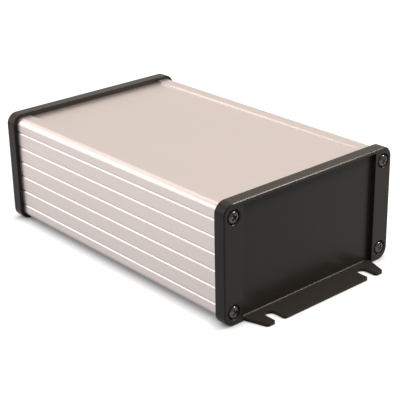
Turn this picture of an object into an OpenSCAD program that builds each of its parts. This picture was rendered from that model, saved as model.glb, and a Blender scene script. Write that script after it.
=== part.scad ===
// Flanged instrument case: one aluminium extrusion, two black end panels folded out into mounting
// flanges, two moulded bezels, two gaskets and eight screws.
// Millimetres. X runs across the case, Y along it and Z up, with Z = 0 at the underside of the flanges.
// The front end faces -Y. Left is -X and right is +X at both ends.

/* [Body extrusion] */
// Width of the extrusion
body_w = 104; // [90:1:160]
// Height of the extrusion
body_h = 55; // [40:1:90]
// Cut length of the extrusion
body_l = 160; // [60:1:300]
// Thickness of the side walls, and of the top and bottom walls under their shallow recess
wall = 1.9; // [1.5:0.1:2.3]
// Radius of the four long outer corners
corner_r = 3.8; // [3:0.1:5]
// Depth of the shallow recess along the top and bottom faces
recess_depth = 0.8; // [0.3:0.1:1.2]
// Width of the raised rail left on each side of the recess
rail_w = 9.1; // [7:0.1:14]
// Distance from one side groove to the next, and from one board guide to the next
groove_pitch = 8.14; // [7:0.01:12]
// Width of a side groove at the surface
groove_w = 1.4; // [0.8:0.1:2]
// Depth of a side groove
groove_depth = 0.5; // [0.2:0.1:0.8]

/* [Board guides] */
// Clear width of a guide slot, for a board 1.6 thick
guide_gap = 1.8; // [1.6:0.1:2.4]
// Thickness of the ribs on each side of a guide slot
guide_rib = 1.1; // [0.8:0.1:1.4]
// How far the ribs stand out from the side wall
guide_reach = 2; // [1:0.1:3]

/* [Screw ports] */
// Distance from the side of the body to a screw's axis
port_inset_x = 3.8; // [3.7:0.1:5]
// Distance from the top or bottom of the body to a screw's axis
port_inset_z = 4.75; // [4.5:0.05:6]
// Diameter of the bore that the screw runs into
port_bore = 3; // [2.6:0.1:3]
// Thickness of the wall round that bore
port_wall = 1.4; // [1:0.1:1.8]
// Width of the mouth that opens each port towards the middle of the case
port_mouth = 1.5; // [1:0.1:2]

/* [Bezels] */
// How far a bezel stands proud of the body all round
bezel_overhang = 1.85; // [1.7:0.05:3]
// Thickness of the rim in front of the end panel
rim_t = 2.2; // [2:0.1:4]
// Length of the skirt that covers the end of the body
skirt = 2.1; // [1:0.1:4]
// Width of the two screw columns, measured from the outside of the bezel
column_w = 11.05; // [10.6:0.05:16]
// Bevel round the front edge
bezel_bevel = 0.5; // [0.2:0.1:0.8]
// Gap between a bezel and what it fits over
bezel_fit = 0.15; // [0.05:0.05:0.3]

/* [End panels and flanges] */
// Thickness of the sheet
sheet_t = 1.5; // [1:0.1:2]
// Gap left round the sheet inside the bezel
sheet_fit = 0.1; // [0:0.05:0.3]
// Inside radius of the fold
fold_r = 0.7; // [0.4:0.1:1]
// How far the flange reaches beyond the front of the bezel
flange_reach = 11; // [9:0.5:25]
// Gap between the root of the flange and each screw column
flange_fit = 0.4; // [0.2:0.1:1]
// How much the flange narrows at each side on its way out
flange_taper = 4; // [0:0.1:6]
// Radius of the outer corners of the flange
flange_corner_r = 1.6; // [0.5:0.1:3]
// Width of the relief notch cut at each end of the fold
relief_w = 0.8; // [0.5:0.1:1]

/* [Mounting slots] */
// Width of an open mounting slot
slot_w = 5.6; // [4:0.1:7]
// Length of a slot from its mouth to its closed end
slot_l = 8.8; // [6:0.1:8.9]
// Distance between the centre lines of the two slots of one flange
slot_spacing = 61.4; // [30:0.1:64]
// Radius that opens each side of a slot's mouth
slot_mouth_r = 1.1; // [0.3:0.1:1.5]

/* [Gaskets] */
// Thickness of the fitted gasket
gasket_t = 0.5; // [0.3:0.1:1.5]
// Width of the gasket's band
gasket_band = 3.4; // [2.5:0.1:4]
// How far the gasket stays inside the outline of the body
gasket_inset = 0.3; // [0.1:0.1:0.6]

/* [Screws] */
// Diameter of the pan head
head_d = 5.9; // [5:0.1:6.4]
// Height of the pan head
head_h = 1.9; // [1.5:0.1:2.4]
// Diameter of the shank
shank_d = 2.8; // [2:0.1:2.8]
// Length of the screw under its head
shank_l = 12; // [8:0.5:20]
// Diameter of the counterbore in the bezel
counterbore_d = 7; // [6.6:0.1:7.4]
// Depth of the counterbore
counterbore_depth = 1.3; // [0.8:0.1:1.5]
// Bevel round the rim of the counterbore
counterbore_bevel = 0.4; // [0.2:0.1:0.4]
// Diameter of the clearance holes through bezel, panel and gasket
clearance_d = 3.4; // [3:0.1:3.8]
// Width across one arm of the cross recess
cross_w = 0.9; // [0.6:0.1:1.1]
// Tip-to-tip width of the cross recess at its mouth
cross_span = 3.5; // [2.8:0.1:4]
// Depth of the cross recess
cross_depth = 1.3; // [0.8:0.1:1.4]

/* [Hidden] */
$fn = 96;
// Overrun of a cut past the face that it opens
eps = 0.01;
// How much a corner disc is larger than its radius, so that the straight sides run into it
blend = 0.002;

// Heights
base_z = bezel_overhang;
top_z = base_z + body_h;
mid_z = base_z + body_h / 2;
bezel_w = body_w + 2 * bezel_overhang;
bezel_h = body_h + 2 * bezel_overhang;
bezel_r = corner_r + bezel_overhang;

// Depths, counted inwards from the front of a bezel
sheet_back = rim_t + sheet_t;
body_start = sheet_back + gasket_t;
bezel_depth = body_start + skirt;
end_y = body_l / 2 + body_start;

// Places across the case
column_x = bezel_w / 2 - column_w;
port_x = body_w / 2 - port_inset_x;
port_z = [base_z + port_inset_z, top_z - port_inset_z];
port_r = port_bore / 2 + port_wall;
recess_w = body_w - 2 * rail_w;
cavity_w = body_w - 2 * wall;
cavity_h = body_h - 2 * (wall + recess_depth);
cavity_r = 1;

// Grooves and guides share one pitch and both keep clear of the corners
groove_room = body_h / 2 - corner_r - groove_w / 2;
grooves_each_way = floor(groove_room / groove_pitch + 0.5);
guide_room = body_h / 2 - port_inset_z - port_r - guide_gap / 2 - guide_rib;
guides_each_way = floor(guide_room / groove_pitch);

// Flange
root_x = column_x - flange_fit;
fold_top = sheet_t + fold_r;
flange_l = rim_t - fold_r + flange_reach;
relief_top = fold_top + 0.4;

body_silver = [0.84, 0.80, 0.78];
bezel_black = [0.13, 0.13, 0.14];
sheet_black = [0.17, 0.17, 0.16];
rubber_black = [0.07, 0.07, 0.07];
screw_black = [0.11, 0.11, 0.12];

// A rectangle with round corners, centred across X and standing on z0
module rounded_rect(w, h, r, z0) {
    for (x = [r - w / 2, w / 2 - r], z = [z0 + r, z0 + h - r])
        translate([x, z]) circle(r);
    translate([-w / 2, z0 + r]) square([w, h - 2 * r]);
    translate([r - w / 2, z0]) square([w - 2 * r, h]);
}

// The body's outer section, grown by a clearance, with its top and bottom recesses
module body_outline(grow = 0) {
    difference() {
        rounded_rect(body_w + 2 * grow, body_h + 2 * grow, corner_r + grow, base_z - grow);
        for (z = [base_z - 1 - grow, top_z - recess_depth + grow])
            translate([grow - recess_w / 2, z])
                square([recess_w - 2 * grow, recess_depth + 1]);
    }
}

// Stands a flat section up across the case, between two depths of the front end
module slab(from, to) {
    translate([0, to - end_y, 0]) rotate([90, 0, 0]) linear_extrude(height = to - from) children();
}

// Puts a front-end piece at the rear end
module at_rear() {
    rotate([0, 0, 180]) children();
}

module at_screws() {
    for (x = [-port_x, port_x], z = port_z) translate([x, z]) children();
}

// ---- Body ----

module side_grooves() {
    for (side = [-1, 1], i = [0.5 - grooves_each_way : grooves_each_way - 0.5])
        translate([side * body_w / 2, mid_z + i * groove_pitch])
            polygon([
                [side, groove_w / 2 + groove_w / 2 / groove_depth],
                [-side * groove_depth, 0],
                [side, -groove_w / 2 - groove_w / 2 / groove_depth]
            ]);
}

module board_guides() {
    for (side = [-1, 1], i = [-guides_each_way : guides_each_way], edge = [-1, 1])
        translate([
            side * (cavity_w / 2 - guide_reach / 2 + eps),
            mid_z + i * groove_pitch + edge * (guide_gap + guide_rib) / 2
        ])
            square([guide_reach + 2 * eps, guide_rib], center = true);
}

// A round boss in each corner of the cavity, joined to both walls
module port_bosses() {
    intersection() {
        body_outline();
        at_screws() circle(port_r);
    }
}

// The bore and its mouth, which points to the middle of the cavity
module port_bores() {
    for (x = [-1, 1], z = [0, 1])
        translate([x * port_x, port_z[z]]) {
            circle(d = port_bore);
            rotate(z == 0 ? 90 - x * -45 : -90 - x * 45)
                translate([0, -port_mouth / 2]) square([port_r + 1, port_mouth]);
        }
}

module body_section() {
    difference() {
        union() {
            difference() {
                body_outline();
                rounded_rect(cavity_w, cavity_h, cavity_r, mid_z - cavity_h / 2);
            }
            board_guides();
            port_bosses();
        }
        side_grooves();
        port_bores();
    }
}

module body_extrusion() {
    color(body_silver) slab(body_start, body_start + body_l) body_section();
}

// ---- Bezels ----

// A round-cornered block whose front edge is bevelled all round
module bevelled_block(w, h, r, depth, bevel) {
    for (x = [r - w / 2, w / 2 - r], z = [r, h - r])
        translate([x, -end_y, z]) rotate([-90, 0, 0]) {
            cylinder(r1 = r - bevel, r2 = r, h = bevel);
            translate([0, 0, bevel]) cylinder(r = r, h = depth - bevel);
        }
    translate([r - w / 2, -end_y, 0]) rotate([90, 0, 90]) linear_extrude(height = w - 2 * r)
        polygon([[0, bevel], [bevel, 0], [depth, 0], [depth, h], [bevel, h], [0, h - bevel]]);
    translate([0, -end_y, r]) linear_extrude(height = h - 2 * r)
        polygon([
            [bevel - w / 2, 0], [w / 2 - bevel, 0], [w / 2, bevel],
            [w / 2, depth], [-w / 2, depth], [-w / 2, bevel]
        ]);
}

// The window between the screw columns, open at the bottom where the flange passes
module bezel_window() {
    translate([-column_x, -1]) square([2 * column_x, top_z + bezel_fit + 1]);
}

module screw_seats() {
    for (x = [-port_x, port_x], z = port_z)
        translate([x, -end_y, z]) rotate([-90, 0, 0]) {
            translate([0, 0, -eps]) cylinder(d = clearance_d, h = rim_t + 2 * eps);
            translate([0, 0, -eps]) cylinder(d = counterbore_d, h = counterbore_depth + eps);
            translate([0, 0, -eps])
                cylinder(
                    d1 = counterbore_d + 2 * counterbore_bevel + 2 * eps,
                    d2 = counterbore_d,
                    h = counterbore_bevel + eps
                );
        }
}

module bezel() {
    difference() {
        bevelled_block(bezel_w, bezel_h, bezel_r, bezel_depth, bezel_bevel);
        slab(-1, rim_t) bezel_window();
        slab(rim_t, body_start)
            rounded_rect(
                body_w + 2 * bezel_fit, body_h + 2 * bezel_fit, corner_r + bezel_fit,
                base_z - bezel_fit
            );
        slab(rim_t - eps, sheet_back + bezel_fit)
            translate([-column_x, -1]) square([2 * column_x, base_z + 1]);
        slab(body_start - eps, bezel_depth + 1) body_outline(bezel_fit);
        screw_seats();
    }
}

module front_bezel() {
    color(bezel_black) bezel();
}

module rear_bezel() {
    color(bezel_black) at_rear() bezel();
}

// ---- End panels ----

// The plan of the flange from the fold outwards, along +Y, with its two outer corners rounded
module flange_plan() {
    slant = atan(flange_taper / flange_l);
    centre_y = flange_l - flange_corner_r;
    centre_x = root_x - (flange_corner_r + centre_y * sin(slant)) / cos(slant);
    for (side = [-1, 1])
        translate([side * centre_x, centre_y]) circle(flange_corner_r + blend);
    polygon([
        [-root_x, 0],
        [-centre_x - flange_corner_r * cos(slant), centre_y + flange_corner_r * sin(slant)],
        [-centre_x, centre_y],
        [-centre_x, flange_l],
        [centre_x, flange_l],
        [centre_x, centre_y],
        [centre_x + flange_corner_r * cos(slant), centre_y + flange_corner_r * sin(slant)],
        [root_x, 0]
    ]);
}

// An open slot with a round closed end and a rounded mouth
module mounting_slot() {
    r = slot_mouth_r;
    translate([0, flange_l - slot_l + slot_w / 2]) {
        circle(d = slot_w);
        translate([-slot_w / 2, 0]) square([slot_w, slot_l]);
    }
    for (side = [-1, 1])
        translate([side * (slot_w / 2 + r), flange_l - r])
            difference() {
                translate([-side * r / 2, (r + eps) / 2]) square([r, r + eps], center = true);
                circle(r);
            }
}

module flange() {
    translate([0, rim_t - fold_r - end_y, 0]) mirror([0, 1, 0]) linear_extrude(height = sheet_t)
        difference() {
            flange_plan();
            for (side = [-1, 1]) translate([side * slot_spacing / 2, 0]) mounting_slot();
        }
}

// The quarter turn that carries the upright sheet out into the flange
module fold() {
    translate([-root_x, rim_t - fold_r - end_y, fold_top])
        rotate([90, 0, 90]) linear_extrude(height = 2 * root_x)
            difference() {
                intersection() {
                    circle(fold_top);
                    translate([0, -fold_top]) square(fold_top);
                }
                circle(fold_r);
            }
}

// The upright sheet, notched at both ends of the fold
module panel_outline() {
    notch_x = root_x + relief_w;
    difference() {
        rounded_rect(
            body_w + 2 * (bezel_fit - sheet_fit), body_h + 2 * (bezel_fit - sheet_fit),
            corner_r + bezel_fit - sheet_fit, base_z - bezel_fit + sheet_fit
        );
        translate([-notch_x, -1]) square([2 * notch_x, relief_top + 1]);
        at_screws() circle(d = clearance_d);
    }
    translate([-root_x, fold_top]) square([2 * root_x, relief_top - fold_top + eps]);
}

module end_panel() {
    slab(rim_t, sheet_back) panel_outline();
    fold();
    flange();
}

module front_end_panel() {
    color(sheet_black) end_panel();
}

module rear_end_panel() {
    color(sheet_black) at_rear() end_panel();
}

// ---- Gaskets ----

module gasket() {
    w = body_w - 2 * gasket_inset;
    h = body_h - 2 * gasket_inset;
    r = corner_r - gasket_inset;
    slab(sheet_back, body_start)
        difference() {
            union() {
                difference() {
                    rounded_rect(w, h, r, base_z + gasket_inset);
                    rounded_rect(
                        w - 2 * gasket_band, h - 2 * gasket_band, cavity_r,
                        base_z + gasket_inset + gasket_band
                    );
                }
                at_screws() circle(port_inset_x - gasket_inset);
            }
            at_screws() circle(d = clearance_d);
        }
}

module front_gasket() {
    color(rubber_black) gasket();
}

module rear_gasket() {
    color(rubber_black) at_rear() gasket();
}

// ---- Screws ----

// Half of the pan head's section: straight below, domed above
module head_profile() {
    r = head_d / 2;
    edge_h = head_h * 0.45;
    crown = head_h - edge_h;
    dome_r = (r * r + crown * crown) / (2 * crown);
    intersection() {
        square([r, head_h]);
        union() {
            square([r, edge_h]);
            translate([0, head_h - dome_r]) circle(dome_r);
        }
    }
}

// The cross recess, deepest in the middle and narrowing towards its floor
module cross_recess() {
    intersection() {
        translate([0, 0, head_h - cross_depth])
            cylinder(r1 = cross_w / 2, r2 = cross_span / 2 + eps, h = cross_depth + eps);
        for (turn = [0, 90])
            rotate(turn)
                translate([-cross_span, -cross_w / 2, 0]) cube([2 * cross_span, cross_w, head_h + 1]);
    }
}

// One screw on its axis, head up, standing on the seat of its head
module screw_on_axis() {
    tip = shank_d / 4;
    difference() {
        rotate_extrude() head_profile();
        cross_recess();
    }
    translate([0, 0, tip - shank_l]) cylinder(d = shank_d, h = shank_l - tip);
    translate([0, 0, -shank_l]) cylinder(d1 = shank_d - 2 * tip, d2 = shank_d, h = tip);
}

// A screw of the front end, by its side and its row of ports
module end_screw(side, level) {
    translate([side * port_x, counterbore_depth - end_y, port_z[level]])
        rotate([90, 0, 0]) screw_on_axis();
}

module front_screw_top_left() {
    color(screw_black) end_screw(-1, 1);
}

module front_screw_top_right() {
    color(screw_black) end_screw(1, 1);
}

module front_screw_bottom_left() {
    color(screw_black) end_screw(-1, 0);
}

module front_screw_bottom_right() {
    color(screw_black) end_screw(1, 0);
}

module rear_screw_top_left() {
    color(screw_black) at_rear() end_screw(1, 1);
}

module rear_screw_top_right() {
    color(screw_black) at_rear() end_screw(-1, 1);
}

module rear_screw_bottom_left() {
    color(screw_black) at_rear() end_screw(1, 0);
}

module rear_screw_bottom_right() {
    color(screw_black) at_rear() end_screw(-1, 0);
}

body_extrusion();
front_bezel();
rear_bezel();
front_end_panel();
rear_end_panel();
front_gasket();
rear_gasket();
front_screw_top_left();
front_screw_top_right();
front_screw_bottom_left();
front_screw_bottom_right();
rear_screw_top_left();
rear_screw_top_right();
rear_screw_bottom_left();
rear_screw_bottom_right();
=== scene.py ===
"""Flanged instrument case: satin aluminium extrusion, black bezels, folded end panels and screws."""

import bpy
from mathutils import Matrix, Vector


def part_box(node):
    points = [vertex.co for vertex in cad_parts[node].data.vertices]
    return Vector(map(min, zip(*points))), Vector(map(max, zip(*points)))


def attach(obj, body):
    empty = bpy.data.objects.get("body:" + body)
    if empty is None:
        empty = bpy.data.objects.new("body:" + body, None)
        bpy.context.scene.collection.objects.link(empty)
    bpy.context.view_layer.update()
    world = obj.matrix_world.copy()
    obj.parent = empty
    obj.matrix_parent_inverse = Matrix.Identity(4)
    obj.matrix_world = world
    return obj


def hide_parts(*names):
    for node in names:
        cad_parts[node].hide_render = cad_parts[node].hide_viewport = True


bl_info = {
    "name": "Flanged Instrument Case",
    "version": (1, 0, 0),
    "blender": (4, 5, 0),
    "location": "View3D > Sidebar > Case",
    "description": "Builds the finished surfaces of a flanged aluminium instrument case",
    "category": "Object",
}

from math import ceil, cos, pi, radians, sin

import bmesh
import bpy
from bpy.props import FloatProperty, FloatVectorProperty, IntProperty, PointerProperty
from bpy.types import Operator, Panel, PropertyGroup
from mathutils import Matrix, Vector

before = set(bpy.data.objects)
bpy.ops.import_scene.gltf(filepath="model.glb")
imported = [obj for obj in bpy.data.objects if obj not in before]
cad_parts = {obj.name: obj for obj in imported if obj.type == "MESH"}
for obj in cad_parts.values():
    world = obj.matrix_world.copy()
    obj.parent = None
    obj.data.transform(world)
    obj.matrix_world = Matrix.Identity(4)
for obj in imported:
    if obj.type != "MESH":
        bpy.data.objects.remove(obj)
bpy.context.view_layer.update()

MM = 0.001
BODY = "root"
ENDS = ("front", "rear")
# Points closer than this are one point, in a copied CAD mesh and in a mesh made here
CAD_WELD = 0.5e-6
MADE_WELD = 1e-6
SCREW_NODES = [
    f"{end}_screw_{level}_{side}"
    for end in ENDS
    for level in ("top", "bottom")
    for side in ("left", "right")
]


# ---- Settings ----


def length(name, description, millimetres):
    """A length property whose default is given in millimetres."""
    return FloatProperty(
        name=name,
        description=description,
        default=millimetres * MM,
        min=0.0,
        precision=5,
        unit="LENGTH",
    )


def colour(name, description, rgb):
    return FloatVectorProperty(
        name=name,
        description=description,
        default=rgb,
        size=3,
        min=0.0,
        max=1.0,
        subtype="COLOR",
    )


def share(name, description, value):
    return FloatProperty(
        name=name, description=description, default=value, min=0.0, max=1.0, subtype="FACTOR"
    )


class ExtrusionSettings(PropertyGroup):
    """The section of the case body, and its anodised finish."""

    wall: length("Wall", "Thickness of the walls", 1.9)
    corner: length("Corner radius", "Radius of the four long outer corners", 3.8)
    recess_depth: length("Recess depth", "Depth of the shallow top and bottom recess", 0.8)
    rail: length("Rail width", "Width of the raised rail on each side of a recess", 9.1)
    pitch: length("Pitch", "Distance between side grooves, and between board guides", 8.14)
    groove_width: length("Groove width", "Width of a side groove at the surface", 1.4)
    groove_depth: length("Groove depth", "Depth of a side groove", 0.5)
    grooves: IntProperty(
        name="Grooves", description="Grooves in each side wall", default=6, min=2, max=12, step=2
    )
    guides: IntProperty(
        name="Guides", description="Board guides inside each side wall", default=5, min=1, max=11
    )
    guide_gap: length("Guide gap", "Clear width of a board guide", 1.8)
    guide_rib: length("Guide rib", "Thickness of the ribs beside a guide", 1.1)
    guide_reach: length("Guide reach", "How far the ribs stand out from the wall", 2.0)
    port_x: length("Port inset across", "From the side of the body to a screw port's axis", 3.8)
    port_z: length("Port inset up", "From the bottom of the body to a screw port's axis", 4.75)
    port_bore: length("Port bore", "Radius of the bore of a screw port", 1.5)
    port_wall: length("Port wall", "Thickness of the wall round that bore", 1.4)
    port_mouth: length("Port mouth", "Width of the mouth of a screw port", 1.5)
    edge: length("Edge radius", "Small radius left by the die on grooves and rails", 0.3)
    tint: colour("Tint", "Colour of the anodised surface", (0.71, 0.645, 0.632))
    roughness: share("Roughness", "Roughness of the anodised surface", 0.36)


class BezelSettings(PropertyGroup):
    """The moulded bezels."""

    edge: length("Edge radius", "Radius on the moulded edges", 0.2)
    tint: colour("Tint", "Colour of the plastic", (0.0225, 0.021, 0.02))
    roughness: share("Roughness", "Roughness of the plastic", 0.27)
    gloss: share("Gloss", "How strongly the plastic reflects", 0.14)
    grain: length("Grain", "Size of the moulded grain", 0.22)


class SheetSettings(PropertyGroup):
    """The folded end panels."""

    edge: length("Edge radius", "Radius of the coated edges of the sheet", 0.3)
    tint: colour("Tint", "Colour of the powder coat", (0.025, 0.0235, 0.0215))
    roughness: share("Roughness", "Roughness of the powder coat", 0.29)
    gloss: share("Gloss", "How strongly the coat reflects", 0.12)
    grain: length("Grain", "Size of the waves in the powder coat", 0.6)


class GasketSettings(PropertyGroup):
    """The flat gaskets."""

    tint: colour("Tint", "Colour of the rubber", (0.012, 0.012, 0.012))
    roughness: share("Roughness", "Roughness of the rubber", 0.8)


class ScrewSettings(PropertyGroup):
    """The pan-head screws."""

    head: length("Head height", "Height of the head above its seat", 1.9)
    length: length("Length", "Length of the screw under its head", 12.0)
    root: length("Thread root", "Radius of the shank between the threads", 1.12)
    crest: length("Thread crest", "Radius of the shank over the threads", 1.4)
    pitch: length("Thread pitch", "Distance from one turn of the thread to the next", 1.06)
    neck: length("Neck", "Plain length under the head", 0.8)
    tip: length("Tip", "Length of the tapered tip", 0.9)
    fullness: FloatProperty(
        name="Fullness", description="How square the shoulder of the head is", default=2.7, min=2.0
    )
    cross_width: length("Cross width", "Width of one arm of the cross recess", 0.95)
    cross_span: length("Cross span", "Tip-to-tip width of the recess at its mouth", 3.6)
    cross_depth: length("Cross depth", "Depth of the cross recess", 1.3)
    edge: length("Edge radius", "Radius round the mouth of the recess", 0.03)
    tint: colour("Tint", "Colour of the blackened steel", (0.085, 0.084, 0.082))
    roughness: share("Roughness", "Roughness of the blackened steel", 0.22)


class StageSettings(PropertyGroup):
    """Camera, lamps and floor."""

    azimuth: FloatProperty(
        name="Azimuth", description="View angle round the case", default=radians(-40.77),
        subtype="ANGLE",
    )
    elevation: FloatProperty(
        name="Elevation", description="View angle above the floor", default=radians(23.15),
        subtype="ANGLE",
    )
    roll: FloatProperty(
        name="Roll", description="Tilt of the camera about its own axis", default=radians(-1.11),
        subtype="ANGLE",
    )
    distance: length("Distance", "From the camera to the point it looks at", 573.55)
    target: FloatVectorProperty(
        name="Target", description="Point that the camera looks at",
        default=(1.10 * MM, -5.31 * MM, 21.26 * MM), subtype="XYZ", unit="LENGTH",
    )
    lens: FloatProperty(
        name="Lens", description="Focal length on a sensor 36 mm wide, in millimetres",
        default=101.64, min=10.0,
    )
    sky: FloatProperty(
        name="Sky", description="Strength of the even light from all round", default=0.42, min=0.0
    )
    mirrored: share("Mirrored", "How much of the white backdrop the case mirrors", 0.08)
    white: FloatProperty(
        name="White", description="How white the floor shows by itself", default=0.92, min=0.0
    )
    glow: FloatProperty(
        name="Glow", description="How white the case mirrors the floor", default=0.7, min=0.0
    )
    # Reach of the painted shade that dims the floor's glow close to the case
    shade: length("Shade", "How far the shade under the case reaches over the floor", 6.0)


# ---- Small helpers ----


def settings(group):
    return getattr(bpy.context.scene, "case_" + group)


def link_object(name, data):
    piece = bpy.data.objects.new(name, data)
    bpy.context.scene.collection.objects.link(piece)
    return piece


def finish_piece(piece, material_slot, *nodes):
    """Hands a finished mesh to the frame in place of its CAD nodes."""
    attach(piece, BODY)
    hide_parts(*nodes)


def smooth_by_angle(mesh, angle=radians(30)):
    mesh.shade_smooth()
    mesh.set_sharp_from_angle(angle=angle)


def finish_shading(piece, angle=radians(35)):
    """Smooth shading with sharp edges, in which the large flat faces stay flat."""
    smooth_by_angle(piece.data, angle)
    weights = piece.modifiers.new("flat_faces", "WEIGHTED_NORMAL")
    weights.keep_sharp = True


def set_material(piece, material):
    piece.data.materials.clear()
    piece.data.materials.append(material)


# ---- Node trees ----


class Value:
    """A node socket that can be used in arithmetic."""

    def __init__(self, tree, socket):
        self.tree = tree
        self.socket = socket

    def math(self, operation, *values):
        """A Math node of this and up to two more values."""
        inputs = dict(enumerate((self, *values)))
        return self.tree.node("ShaderNodeMath", {"operation": operation}, inputs)

    def __add__(self, other):
        return self.math("ADD", other)

    __radd__ = __add__

    def __sub__(self, other):
        return self.math("SUBTRACT", other)

    def __rsub__(self, other):
        return (-1 * self).math("ADD", other)

    def __mul__(self, other):
        return self.math("MULTIPLY", other)

    __rmul__ = __mul__

    def __truediv__(self, other):
        return self.math("DIVIDE", other)

    def __floordiv__(self, other):
        return self.math("DIVIDE", other).math("FLOOR")

    def __mod__(self, other):
        return self.math("FLOORED_MODULO", other)

    def __pow__(self, other):
        return self.math("POWER", other)

    def __lt__(self, other):
        return self.math("LESS_THAN", other)

    def __gt__(self, other):
        return self.math("GREATER_THAN", other)


class Tree:
    """A node tree that is filled through one method."""

    def __init__(self, tree):
        self.tree = tree

    def node(self, kind, options=None, inputs=None, output=0):
        """Adds a node, sets its options first and then its inputs, and returns one output."""
        node = self.tree.nodes.new(kind)
        for key, value in (options or {}).items():
            setattr(node, key, value)
        for key, value in (inputs or {}).items():
            for part in value if isinstance(value, list) else [value]:
                if isinstance(part, Value):
                    self.tree.links.new(part.socket, node.inputs[key])
                else:
                    node.inputs[key].default_value = part
        return Value(self, node.outputs[output]) if node.outputs else None


class Material(Tree):
    """A material, as a node tree."""

    def __init__(self, name):
        self.material = bpy.data.materials.new(name)
        self.material.use_nodes = True
        super().__init__(self.material.node_tree)
        self.tree.nodes.clear()

    def surface(self, shader):
        self.node("ShaderNodeOutputMaterial", inputs={"Surface": shader})
        return self.material

    def noise(self, size, stretch=(1, 1, 1), detail=2.0):
        """Noise whose features are about one size, in metres, longer along a stretched axis."""
        place = self.node("ShaderNodeTexCoord", output="Object")
        scale = tuple(1 / (size * s) for s in stretch)
        place = self.node("ShaderNodeMapping", inputs={"Vector": place, "Scale": scale})
        return self.node(
            "ShaderNodeTexNoise", inputs={"Vector": place, "Scale": 1.0, "Detail": detail}
        )

    def tinted(self, rgb, amount, factor):
        """A colour that varies by a small share, following a factor from 0 to 1.

        Sockets 6 and 7 of a Mix node are its two colours, and output 2 is the mixed one.
        """
        darker = tuple(c * (1 - amount) for c in rgb) + (1,)
        lighter = tuple(min(1, c * (1 + amount)) for c in rgb) + (1,)
        return self.node(
            "ShaderNodeMix", {"data_type": "RGBA"}, {"Factor": factor, 6: darker, 7: lighter},
            output=2,
        )

    def bump(self, height, depth, strength=1.0):
        return self.node(
            "ShaderNodeBump", inputs={"Height": height, "Distance": depth, "Strength": strength}
        )


class Shape(Tree):
    """A geometry tree with named inputs for its sizes."""

    SOCKETS = {float: "NodeSocketFloat", int: "NodeSocketInt"}

    def __init__(self, name, sizes, material):
        super().__init__(bpy.data.node_groups.new(name, "GeometryNodeTree"))
        self.values = {}
        for key, value in {**sizes, "Material": material}.items():
            kind = self.SOCKETS.get(type(value), "NodeSocketMaterial")
            socket = self.tree.interface.new_socket(key, in_out="INPUT", socket_type=kind)
            if kind == "NodeSocketFloat":
                socket.subtype = "DISTANCE"
            self.values[socket.identifier] = value
        self.tree.interface.new_socket(
            "Geometry", in_out="OUTPUT", socket_type="NodeSocketGeometry"
        )
        self.source = self.tree.nodes.new("NodeGroupInput")

    def given(self, name):
        return Value(self, self.source.outputs[name])

    def vector(self, x=0.0, y=0.0, z=0.0):
        return self.node("ShaderNodeCombineXYZ", inputs={0: x, 1: y, 2: z})

    def parts(self, vector):
        """The three numbers of a vector."""
        split = self.node("ShaderNodeSeparateXYZ", inputs={0: vector})
        return [Value(self, socket) for socket in split.socket.node.outputs]

    def pick(self, index, *vectors):
        """The vector whose number in the list is the index."""
        node = self.tree.nodes.new("GeometryNodeIndexSwitch")
        node.data_type = "VECTOR"
        while len(node.index_switch_items) < len(vectors):
            node.index_switch_items.new()
        for number, value in enumerate((index, *vectors)):
            self.tree.links.new(value.socket, node.inputs[number])
        return Value(self, node.outputs[0])

    def index(self):
        return self.node("GeometryNodeInputIndex")

    def closed_line(self, count, place, segments):
        """A closed line of points at (x, y), each rounded by the radius that z holds."""
        x, y, radius = self.parts(place)
        line = self.node("GeometryNodeCurvePrimitiveCircle", inputs={"Resolution": count})
        line = self.node(
            "GeometryNodeSetPosition", inputs={"Geometry": line, "Position": self.vector(x, y)}
        )
        return self.node(
            "GeometryNodeFilletCurve", {"mode": "POLY"},
            {"Curve": line, "Count": segments, "Radius": radius, "Limit Radius": True},
        )

    def joined(self, *shapes):
        shapes = self.node("GeometryNodeJoinGeometry", inputs={0: list(shapes)})
        return self.node(
            "GeometryNodeMergeByDistance", inputs={"Geometry": shapes, "Distance": MADE_WELD}
        )

    def moved(self, shape, place, turn=(0, 0, 0), size=(1, 1, 1)):
        return self.node(
            "GeometryNodeTransform",
            inputs={"Geometry": shape, "Translation": place, "Rotation": turn, "Scale": size},
        )

    def made(self, name, shape):
        """Ends the tree, and returns a new object with the finished mesh."""
        shape = self.node("GeometryNodeRealizeInstances", inputs={"Geometry": shape})
        shape = self.node(
            "GeometryNodeSetMaterial",
            inputs={"Geometry": shape, "Material": self.given("Material")},
        )
        self.node("NodeGroupOutput", inputs={0: shape})
        piece = link_object(name, bpy.data.meshes.new(name))
        modifier = piece.modifiers.new(name, "NODES")
        modifier.node_group = self.tree
        for identifier, value in self.values.items():
            modifier[identifier] = value
        evaluated = piece.evaluated_get(bpy.context.evaluated_depsgraph_get())
        mesh = bpy.data.meshes.new_from_object(evaluated)
        mesh.name = name
        piece.modifiers.remove(modifier)
        piece.data = mesh
        return piece


# ---- Materials ----


def anodised_aluminium():
    """Satin anodised metal: faint draw lines along the length, and a fine etched grain."""
    s = settings("extrusion")
    tree = Material("anodised_aluminium")
    lines = tree.noise(0.9 * MM, stretch=(1, 300, 1), detail=4)
    etch = tree.noise(0.16 * MM)
    cloud = tree.noise(30 * MM, stretch=(1, 3, 1))
    return tree.surface(tree.node(
        "ShaderNodeBsdfPrincipled",
        inputs={
            "Base Color": tree.tinted(s.tint, 0.05, 0.6 * lines + 0.25 * cloud + 0.15 * etch),
            "Metallic": 0.92,
            "Roughness": s.roughness + 0.08 * (lines - 0.5) + 0.06 * (etch - 0.5),
            "Normal": tree.bump(lines + 0.5 * etch, 0.004 * MM, 0.5),
        },
    ))


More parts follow.
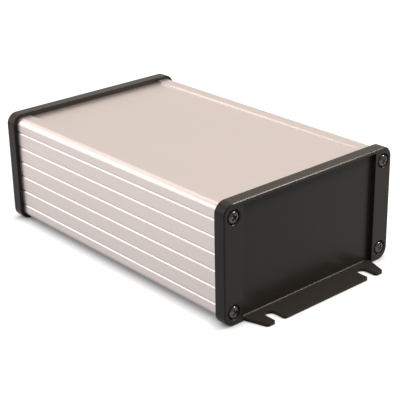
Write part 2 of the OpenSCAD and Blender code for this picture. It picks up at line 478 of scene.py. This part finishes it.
def bezel_plastic():
    """Black moulded plastic with a fine spark-eroded grain."""
    s = settings("bezel")
    tree = Material("bezel_plastic")
    grain = tree.noise(s.grain, detail=3)
    cloud = tree.noise(12 * MM)
    return tree.surface(tree.node(
        "ShaderNodeBsdfPrincipled",
        inputs={
            "Base Color": tree.tinted(s.tint, 0.12, cloud),
            "Roughness": s.roughness + 0.12 * (grain - 0.5) + 0.05 * (cloud - 0.5),
            "Normal": tree.bump(grain, 0.02 * MM, 0.5),
            "Specular IOR Level": s.gloss,
        },
    ))


def powder_coat():
    """Black powder coat on steel, with its low waves and specks."""
    s = settings("sheet")
    tree = Material("powder_coat")
    waves = tree.noise(s.grain, detail=2)
    speck = tree.noise(0.12 * MM)
    return tree.surface(tree.node(
        "ShaderNodeBsdfPrincipled",
        inputs={
            "Base Color": tree.tinted(s.tint, 0.15, speck),
            "Roughness": s.roughness + 0.1 * (waves - 0.5) + 0.08 * (speck - 0.5),
            "Normal": tree.bump(waves + 0.3 * speck, 0.015 * MM, 0.6),
            "Specular IOR Level": s.gloss,
        },
    ))


def gasket_rubber():
    """Soft black rubber sheet."""
    s = settings("gasket")
    tree = Material("gasket_rubber")
    grain = tree.noise(0.3 * MM)
    return tree.surface(tree.node(
        "ShaderNodeBsdfPrincipled",
        inputs={
            "Base Color": tree.tinted(s.tint, 0.2, grain),
            "Roughness": s.roughness + 0.1 * (grain - 0.5),
            "Normal": tree.bump(grain, 0.01 * MM, 0.5),
        },
    ))


def black_screw():
    """Blackened steel, a little lighter where the coating is thin."""
    s = settings("screw")
    tree = Material("black_screw")
    grain = tree.noise(0.1 * MM)
    worn = tree.noise(1.5 * MM)
    return tree.surface(tree.node(
        "ShaderNodeBsdfPrincipled",
        inputs={
            "Base Color": tree.tinted(s.tint, 0.25, worn),
            "Metallic": 0.9,
            "Roughness": s.roughness + 0.12 * (worn - 0.5) + 0.08 * (grain - 0.5),
            "Normal": tree.bump(grain, 0.004 * MM, 0.4),
        },
    ))


# ---- Softened copies of CAD nodes ----


def softened_copy(node, radius, segments=3, flattest=radians(20)):
    """A merged copy of a CAD node's mesh. Edges that turn by more than an angle are rounded."""
    shape = bmesh.new()
    shape.from_mesh(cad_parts[node].data)
    bmesh.ops.remove_doubles(shape, verts=shape.verts, dist=CAD_WELD)
    same_plane = radians(0.3)
    bmesh.ops.dissolve_limit(
        shape, angle_limit=same_plane, verts=shape.verts, edges=shape.edges
    )
    edges = [
        e for e in shape.edges
        if len(e.link_faces) == 2 and e.calc_face_angle(0) > flattest
    ]
    bmesh.ops.bevel(
        shape, geom=edges, offset=radius, segments=segments, profile=0.5,
        affect="EDGES", clamp_overlap=True, miter_outer="ARC",
    )
    mesh = bpy.data.meshes.new(node + "_softened")
    shape.to_mesh(mesh)
    shape.free()
    return mesh


def build_softened(node, radius, material, slot):
    piece = link_object(node + "_shell", softened_copy(node, radius))
    set_material(piece, material)
    finish_shading(piece)
    finish_piece(piece, slot, node)


# ---- Pieces that follow a rule ----


def body_outline(tree):
    """The outer line of the section: grooved sides, round corners, shallow recesses.

    Points are numbered up the right side and along the top. The second half of them is the
    first half turned half round. Three points make a groove, and six more the rest of a half.
    """
    per_groove = 3
    edge_steps = 3
    corner_steps = 12
    half_w = tree.given("Width") * 0.5
    half_h = tree.given("Height") * 0.5
    corner = tree.given("Corner Radius")
    edge = tree.given("Edge Radius")
    grooves = tree.given("Grooves")
    in_x = half_w - tree.given("Rail Width")
    low = half_h - tree.given("Recess Depth")
    on_grooves = per_groove * grooves
    count = on_grooves + 6
    turned = tree.index() // count
    number = tree.index() % count
    groove = (number - 1) // per_groove
    point = (number - 1) % per_groove
    at_root = 1 - (point - 1).math("ABSOLUTE")
    groove_point = tree.vector(
        half_w - tree.given("Groove Depth") * at_root,
        (groove - (grooves - 1) * 0.5) * tree.given("Pitch")
        + (point - 1) * 0.5 * tree.given("Groove Width"),
        edge,
    )
    past = (number - on_grooves).math("MAXIMUM", 0)
    plain_point = tree.pick(
        past,
        tree.vector(half_w, -1 * half_h, corner),
        tree.vector(half_w, half_h, corner),
        tree.vector(in_x, half_h, edge),
        tree.vector(in_x, low, edge),
        tree.vector(-1 * in_x, low, edge),
        tree.vector(-1 * in_x, half_h, edge),
    )
    on_side = (number > 0.5) * (past < 0.5)
    x, y, radius = tree.parts(tree.pick(on_side, plain_point, groove_point))
    way = 1 - 2 * turned
    place = tree.vector(x * way, y * way, radius)
    steps = edge_steps + (corner_steps - edge_steps) * (radius > edge * 1.5)
    return tree.closed_line(2 * count, place, steps)


# Points on the outside of a screw port, in its bore, and on its outside again
PORT_STEPS = (6, 22, 6)
# Corners of the two ribs beside a board guide
GUIDE_CORNERS = 8


def cavity_outline(tree):
    """The inner line of the section: board guides on the sides and a screw port in each corner.

    A port's points run along its outside, round its bore, and along its outside again.
    """
    half_w = tree.given("Width") * 0.5
    half_h = tree.given("Height") * 0.5
    wall = tree.given("Wall")
    edge = tree.given("Edge Radius")
    guides = tree.given("Guides")
    bore = tree.given("Port Bore")
    outside = bore + tree.given("Port Wall")
    port_x = half_w - tree.given("Port Inset Across")
    port_y = half_h - tree.given("Port Inset Up")
    wall_x = half_w - wall
    wall_y = half_h - wall - tree.given("Recess Depth")
    gap = tree.given("Guide Gap") * 0.5
    rib = tree.given("Guide Rib")

    per_port = sum(PORT_STEPS)
    port_and_guides = per_port + GUIDE_CORNERS * guides
    count = port_and_guides + per_port
    turned = tree.index() // count
    number = tree.index() % count
    lower = number < per_port - 0.5
    upper = number > port_and_guides - 0.5

    mouth = tree.given("Port Mouth") * 0.5
    lip = (mouth / outside).math("ARCSINE")
    throat = (mouth / bore).math("ARCSINE")
    to_side = -1 * ((wall_x - port_x) / outside).math("ARCCOSINE")
    to_top = pi - ((wall_y - port_y) / outside).math("ARCSINE")
    mouth_way = radians(225)
    spans = (
        (outside, to_side, mouth_way - 2 * pi + lip),
        (bore, mouth_way - 2 * pi + throat, mouth_way - throat),
        (outside, mouth_way - lip, to_top),
    )
    step = lower * (per_port - 1 - number) + upper * (number - port_and_guides)
    lip_rounding = edge * 0.8
    arcs = []
    first = 0
    for (radius, begin, finish), steps in zip(spans, PORT_STEPS):
        share_done = (step - first) / (steps - 1)
        angle = begin + (finish - begin) * share_done
        at_end = (share_done < 0.01) + (share_done > 0.99)
        arcs.append(tree.vector(radius, angle, at_end * lip_rounding))
        first += steps
    part = (step > PORT_STEPS[0] - 0.5) + (step > PORT_STEPS[0] + PORT_STEPS[1] - 0.5)
    radius, angle, fillet = tree.parts(tree.pick(part, *arcs))
    port_point = tree.vector(
        port_x + radius * angle.math("COSINE"),
        (port_y + radius * angle.math("SINE")) * (1 - 2 * lower),
        fillet,
    )

    guide = (number - per_port) // GUIDE_CORNERS
    corner = (number - per_port) % GUIDE_CORNERS
    turn = corner % 4
    upper_rib = corner > 3.5
    guide_point = tree.vector(
        wall_x - tree.given("Guide Reach") * (turn > 0.5) * (turn < 2.5),
        (guide - (guides - 1) * 0.5) * tree.given("Pitch")
        + upper_rib * (2 * gap + rib) - gap - rib
        + rib * (turn > 1.5),
        edge,
    )
    x, y, fillet = tree.parts(tree.pick(lower + upper, guide_point, port_point))
    way = 1 - 2 * turned
    edge_steps = 3
    return tree.closed_line(2 * count, tree.vector(x * way, y * way, fillet), edge_steps)


def build_extrusion():
    s = settings("extrusion")
    low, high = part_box("body_extrusion")
    tree = Shape(
        "case_extrusion",
        {
            "Width": float(high[0] - low[0]),
            "Height": float(high[2] - low[2]),
            "Length": float(high[1] - low[1]),
            "Base": float(low[2]),
            "Wall": s.wall,
            "Corner Radius": s.corner,
            "Recess Depth": s.recess_depth,
            "Rail Width": s.rail,
            "Pitch": s.pitch,
            "Groove Width": s.groove_width,
            "Groove Depth": s.groove_depth,
            "Grooves": s.grooves,
            "Guides": s.guides,
            "Guide Gap": s.guide_gap,
            "Guide Rib": s.guide_rib,
            "Guide Reach": s.guide_reach,
            "Port Inset Across": s.port_x,
            "Port Inset Up": s.port_z,
            "Port Bore": s.port_bore,
            "Port Wall": s.port_wall,
            "Port Mouth": s.port_mouth,
            "Edge Radius": s.edge,
        },
        anodised_aluminium(),
    )
    lines = tree.node(
        "GeometryNodeJoinGeometry", inputs={0: [body_outline(tree), cavity_outline(tree)]}
    )
    section = tree.node("GeometryNodeFillCurve", {"mode": "NGONS"}, {"Curve": lines})
    run = tree.given("Length")
    prism = tree.node(
        "GeometryNodeExtrudeMesh", {"mode": "FACES"},
        {"Mesh": section, "Offset": tree.vector(0.0, 0.0, run), "Individual": False},
    )
    first_end = tree.node("GeometryNodeFlipFaces", inputs={"Mesh": section})
    height = tree.given("Base") + tree.given("Height") * 0.5
    solid = tree.moved(
        tree.joined(prism, first_end), tree.vector(0.0, run * 0.5, height), (radians(90), 0, 0)
    )
    piece = tree.made("body_extrusion_finished", solid)
    finish_shading(piece)
    finish_piece(piece, "anodised_aluminium", "body_extrusion")


# Steps in one turn round a screw's axis
TURN_STEPS = 32


def revolved(tree, rows, profile, turns=1):
    """A grid wrapped round Z. The profile gives radius and height from a row and an angle."""
    sizes = {
        "Size X": 1.0, "Size Y": 1.0, "Vertices X": turns * TURN_STEPS + 1, "Vertices Y": rows,
    }
    grid = tree.node("GeometryNodeMeshGrid", inputs=sizes)
    around, along, _ = tree.parts(tree.node("GeometryNodeInputPosition"))
    angle = (around + 0.5) * (turns * 2 * pi)
    row = ((along + 0.5) * (rows - 1)).math("ROUND")
    radius, height = profile(row, angle)
    place = tree.vector(radius * angle.math("COSINE"), radius * angle.math("SINE"), height)
    return tree.node("GeometryNodeSetPosition", inputs={"Geometry": grid, "Position": place})


def screw_head(tree):
    """The neck, the seat and the rounded top of a pan head."""
    neck_rows = 2
    dome_rows = 16

    def profile(row, angle):
        rise = (row - neck_rows).math("MAXIMUM", 0) * (pi / 2 / (dome_rows - 1))
        power = 2 / settings("screw").fullness
        on_neck = row < neck_rows - 0.5
        across = rise.math("COSINE").math("MAXIMUM", 0) ** power
        up = rise.math("SINE") ** power
        radius = tree.given("Head Diameter") * 0.5 * across
        radius = radius + on_neck * (tree.given("Thread Root") - radius)
        height = tree.given("Head Height") * up * (1 - on_neck)
        return radius, height - tree.given("Neck") * (row < 0.5)

    return revolved(tree, neck_rows + dome_rows, profile)


def screw_thread(tree, turns):
    """A helical ridge that starts and ends in the plain shank.

    Each row is a share of the pitch downwards, and a share of the ridge's height.
    """
    rows = ((1.0, 0.0), (0.8, 0.0), (0.45, 1.0), (0.35, 1.0), (0.0, 0.0))
    pitch = tree.given("Thread Pitch")
    top = -1 * tree.given("Neck")
    end = tree.given("Tip") - tree.given("Length")

    def profile(row, angle):
        steps = [tree.vector(share_down * pitch, ridge) for share_down, ridge in rows]
        down, ridge, _ = tree.parts(tree.pick(row, *steps))
        height = top + pitch - pitch * (angle / (2 * pi)) - down
        height = height.math("MINIMUM", top).math("MAXIMUM", end)
        begun = ((top - height) / pitch).math("MINIMUM", 1)
        left = ((height - end) / pitch).math("MINIMUM", 1)
        depth = tree.given("Thread Crest") - tree.given("Thread Root")
        return tree.given("Thread Root") + depth * ridge * begun * left, height

    return revolved(tree, len(rows), profile, turns)


def screw_tip(tree):
    """The tapered tip, with a small flat end."""
    softening = 0.1 * MM

    def profile(row, angle):
        radius = tree.given("Thread Root")
        shank = tree.given("Length")
        shape = tree.pick(
            row,
            tree.vector(0.0, -1 * shank),
            tree.vector(radius * 0.45, -1 * shank),
            tree.vector(radius * 0.6, softening - shank),
            tree.vector(radius, tree.given("Tip") - shank),
        )
        radius, height, _ = tree.parts(shape)
        return radius, height

    return revolved(tree, 4, profile)


def cross_arm(tree, turn):
    """One arm of the cross-shaped cutter, narrower at its foot and past the head at its top."""
    width = tree.given("Cross Width")
    depth = tree.given("Cross Depth")
    past_top = 0.3
    arm = tree.node("GeometryNodeMeshCube", inputs={"Size": (1, 1, 1)})
    x, y, z = tree.parts(tree.node("GeometryNodeInputPosition"))
    up = (z + 0.5) * (1 + past_top)
    foot = width * 1.1
    place = tree.vector(
        x * (foot + (tree.given("Cross Span") - foot) * up),
        y * width * (0.75 + 0.25 * up),
        tree.given("Head Height") + depth * (up - 1),
    )
    arm = tree.node("GeometryNodeSetPosition", inputs={"Geometry": arm, "Position": place})
    return tree.moved(arm, (0, 0, 0), (0, 0, turn))


def screw_places(tree):
    """Eight points, four at each end, and the turn that points a screw outwards from each."""
    number = tree.index()
    across = 1 - 2 * (number % 2)
    up = 1 - 2 * ((number // 2) % 2)
    end = 2 * (number // 4) - 1
    place = tree.vector(
        across * 0.5 * tree.given("Spacing Across"),
        end * tree.given("Seat"),
        tree.given("Middle Height") + up * 0.5 * tree.given("Spacing Up"),
    )
    points = tree.node(
        "GeometryNodePoints", inputs={"Count": len(SCREW_NODES), "Position": place}
    )
    least, most = radians(25), radians(70)
    spin = tree.node(
        "FunctionNodeRandomValue", {"data_type": "FLOAT"},
        {2: least, 3: most, "ID": number, "Seed": 4}, output=1,
    )
    return points, tree.vector(-1 * end * radians(90), end * spin, 0.0)


def build_screws():
    s = settings("screw")
    low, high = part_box("front_screw_top_left")
    middle = (low + high) / 2
    below = sum(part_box("front_screw_bottom_left"), Vector()) / 2
    sizes = {
        "Head Diameter": float(high.x - low.x),
        "Head Height": s.head,
        "Length": s.length,
        "Neck": s.neck,
        "Tip": s.tip,
        "Thread Root": s.root,
        "Thread Crest": s.crest,
        "Thread Pitch": s.pitch,
        "Cross Width": s.cross_width,
        "Cross Span": s.cross_span,
        "Cross Depth": s.cross_depth,
        "Spacing Across": float(-2 * middle.x),
        "Spacing Up": float(middle.z - below.z),
        "Middle Height": float((middle.z + below.z) / 2),
        "Seat": float(s.length - high.y),
    }
    tree = Shape("case_screws", sizes, black_screw())
    turns = ceil((s.length - s.neck - s.tip) / s.pitch) + 1
    solid = tree.joined(screw_head(tree), screw_thread(tree, turns), screw_tip(tree))
    cutters = [cross_arm(tree, turn) for turn in (0, radians(90))]
    cut = tree.node(
        "GeometryNodeMeshBoolean", {"operation": "DIFFERENCE", "solver": "EXACT"},
        {"Mesh 1": solid, "Mesh 2": cutters},
    )
    mouth = Value(tree, cut.socket.node.outputs["Intersecting Edges"])
    screw = tree.node(
        "GeometryNodeStoreNamedAttribute", {"data_type": "FLOAT", "domain": "EDGE"},
        {"Geometry": cut, "Name": "bevel_weight_edge", "Value": mouth},
    )
    points, turned = screw_places(tree)
    screws = tree.node(
        "GeometryNodeInstanceOnPoints",
        inputs={"Points": points, "Instance": screw, "Rotation": turned},
    )
    piece = tree.made("end_screws", screws)
    rounded = piece.modifiers.new("recess_edges", "BEVEL")
    rounded.limit_method = "WEIGHT"
    rounded.width = s.edge
    rounded.segments = 2
    rounded.use_clamp_overlap = False
    finish_shading(piece)
    finish_piece(piece, "black_screw", *SCREW_NODES)


# ---- Operators ----


class CASE_OT_extrusion(Operator):
    """Adds the body extrusion"""

    bl_idname = "case.extrusion"
    bl_label = "Body extrusion"

    def execute(self, context):
        build_extrusion()
        return {"FINISHED"}


class CASE_OT_screws(Operator):
    """Adds the eight screws"""

    bl_idname = "case.screws"
    bl_label = "Screws"

    def execute(self, context):
        build_screws()
        return {"FINISHED"}


class CASE_OT_bezels(Operator):
    """Adds both moulded bezels"""

    bl_idname = "case.bezels"
    bl_label = "Bezels"

    def execute(self, context):
        material = bezel_plastic()
        for end in ENDS:
            build_softened(end + "_bezel", settings("bezel").edge, material, "bezel_plastic")
        return {"FINISHED"}


class CASE_OT_panels(Operator):
    """Adds both folded end panels"""

    bl_idname = "case.panels"
    bl_label = "End panels"

    def execute(self, context):
        material = powder_coat()
        for end in ENDS:
            build_softened(end + "_end_panel", settings("sheet").edge, material, "black_sheet")
        return {"FINISHED"}


class CASE_OT_gaskets(Operator):
    """Gives both gaskets their rubber"""

    bl_idname = "case.gaskets"
    bl_label = "Gaskets"

    def execute(self, context):
        material = gasket_rubber()
        for end in ENDS:
            set_material(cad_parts[end + "_gasket"], material)
        return {"FINISHED"}


class CASE_OT_stage(Operator):
    """Adds the camera, the lamps, the sky and the floor"""

    bl_idname = "case.stage"
    bl_label = "Stage"

    def execute(self, context):
        add_camera()
        add_sky()
        add_floor()
        add_lamps()
        context.scene.view_settings.view_transform = "Standard"
        return {"FINISHED"}


def add_camera():
    s = settings("stage")
    back = Vector((
        sin(s.azimuth) * cos(s.elevation), -cos(s.azimuth) * cos(s.elevation), sin(s.elevation)
    ))
    right = Vector((cos(s.azimuth), sin(s.azimuth), 0))
    up = back.cross(right)
    across = cos(s.roll) * right + sin(s.roll) * up
    upward = cos(s.roll) * up - sin(s.roll) * right
    data = bpy.data.cameras.new("camera")
    data.lens = s.lens
    data.sensor_width = 36
    data.clip_start = 0.01
    camera = link_object("camera", data)
    turn = Matrix((across, upward, back)).transposed().to_4x4()
    camera.matrix_world = Matrix.Translation(Vector(s.target) + back * s.distance) @ turn
    bpy.context.scene.camera = camera


def add_sky():
    """Even light from all round. The camera sees plain white there, and the case a share of it."""
    s = settings("stage")
    world = bpy.data.worlds.new("sky")
    world.use_nodes = True
    world.node_tree.nodes.clear()
    bpy.context.scene.world = world
    tree = Tree(world.node_tree)
    seen = tree.node("ShaderNodeLightPath", output="Is Camera Ray")
    mirrored = tree.node("ShaderNodeLightPath", output="Is Glossy Ray")
    passed = tree.node("ShaderNodeLightPath", output="Is Transmission Ray")
    light = tree.node(
        "ShaderNodeBackground", inputs={"Color": (1, 0.95, 0.90, 1), "Strength": s.sky}
    )
    white = tree.node("ShaderNodeBackground", inputs={"Color": (1, 1, 1, 1), "Strength": 1.0})
    share_white = seen + s.mirrored * (mirrored + passed)
    both = tree.node("ShaderNodeMixShader", inputs={0: share_white, 1: light, 2: white})
    tree.node("ShaderNodeOutputWorld", inputs={"Surface": both})


def add_floor():
    """A white floor that glows by itself, with painted shade that dims the glow close to the case;
    it also takes real shadow from the lamps.
    """
    s = settings("stage")
    tree = Material("floor")
    seen = tree.node("ShaderNodeLightPath", output="Is Camera Ray")
    mirrored = tree.node("ShaderNodeLightPath", output="Is Glossy Ray")
    passed = tree.node("ShaderNodeLightPath", output="Is Transmission Ray")
    # Painted shade: ambient occlusion dims the floor's glow close to the case, both as the camera
    # sees it and as the case mirrors it
    painted_contact_shade = tree.node("ShaderNodeAmbientOcclusion", inputs={"Distance": s.shade}, output="AO")
    paint = tree.node("ShaderNodeBsdfDiffuse", inputs={"Color": (0.24, 0.24, 0.24, 1)})
    glow = tree.node(
        "ShaderNodeEmission",
        inputs={
            "Color": (1, 1, 1, 1),
            "Strength": painted_contact_shade * (s.white * seen + s.glow * (mirrored + passed)),
        },
    )
    material = tree.surface(tree.node("ShaderNodeAddShader", inputs={0: paint, 1: glow}))
    mesh = bpy.data.meshes.new("floor")
    half = 3.0
    # A hair below the flanges, so that no two faces lie in one plane
    under = -0.02 * MM
    mesh.from_pydata(
        [(-half, -half, under), (half, -half, under), (half, half, under), (-half, half, under)],
        [],
        [(0, 1, 2, 3)],
    )
    floor = link_object("floor", mesh)
    set_material(floor, material)


# Each lamp: name, direction from the case, distance, diameter, watts, colour
LAMPS = (
    ("key", (0.60, -0.38, 0.70), 1.0, 0.26, 10.0, (1, 0.87, 0.74)),
    ("above", (0.05, 0.05, 1.0), 1.0, 0.7, 5.5, (1, 0.89, 0.78)),
    ("back", (-0.02, 0.75, 0.64), 1.2, 0.9, 2.0, (1, 0.95, 0.90)),
    ("back_left", (-0.55, 0.70, 0.34), 1.1, 0.75, 2.8, (1, 0.99, 0.97)),
    ("back_right", (0.66, 0.66, 0.44), 1.2, 0.9, 0.8, (1, 0.91, 0.82)),
)


def add_lamps():
    centre = Vector((0, 0, 30 * MM))
    for name, way, distance, diameter, watts, rgb in LAMPS:
        data = bpy.data.lights.new(name, "AREA")
        data.shape = "DISK"
        data.size = diameter
        data.energy = watts
        data.color = rgb
        lamp = link_object(name, data)
        way = Vector(way).normalized()
        turn = way.to_track_quat("Z", "Y").to_matrix().to_4x4()
        lamp.matrix_world = Matrix.Translation(centre + way * distance) @ turn


SETTINGS = {
    "extrusion": ExtrusionSettings,
    "bezel": BezelSettings,
    "sheet": SheetSettings,
    "gasket": GasketSettings,
    "screw": ScrewSettings,
    "stage": StageSettings,
}
OPERATORS = (
    CASE_OT_extrusion, CASE_OT_bezels, CASE_OT_panels, CASE_OT_gaskets, CASE_OT_screws,
    CASE_OT_stage,
)


class CASE_PT_sidebar(Panel):
    """Lists the pieces of the case"""

    bl_label = "Instrument case"
    bl_idname = "CASE_PT_sidebar"
    bl_space_type = "VIEW_3D"
    bl_region_type = "UI"
    bl_category = "Case"

    def draw(self, context):
        for operator in OPERATORS:
            self.layout.operator(operator.bl_idname)
        for name, group in SETTINGS.items():
            box = self.layout.box()
            box.label(text=name.capitalize())
            for key in group.__annotations__:
                box.prop(settings(name), key)


CLASSES = (*SETTINGS.values(), *OPERATORS, CASE_PT_sidebar)


def register():
    for cls in CLASSES:
        bpy.utils.register_class(cls)
    for name, group in SETTINGS.items():
        setattr(bpy.types.Scene, "case_" + name, PointerProperty(type=group))


def unregister():
    for name in SETTINGS:
        delattr(bpy.types.Scene, "case_" + name)
    for cls in reversed(CLASSES):
        bpy.utils.unregister_class(cls)


def main():
    register()
    for operator in OPERATORS:
        getattr(bpy.ops.case, operator.bl_idname.split(".")[1])()


if __name__ == "__main__":
    main()
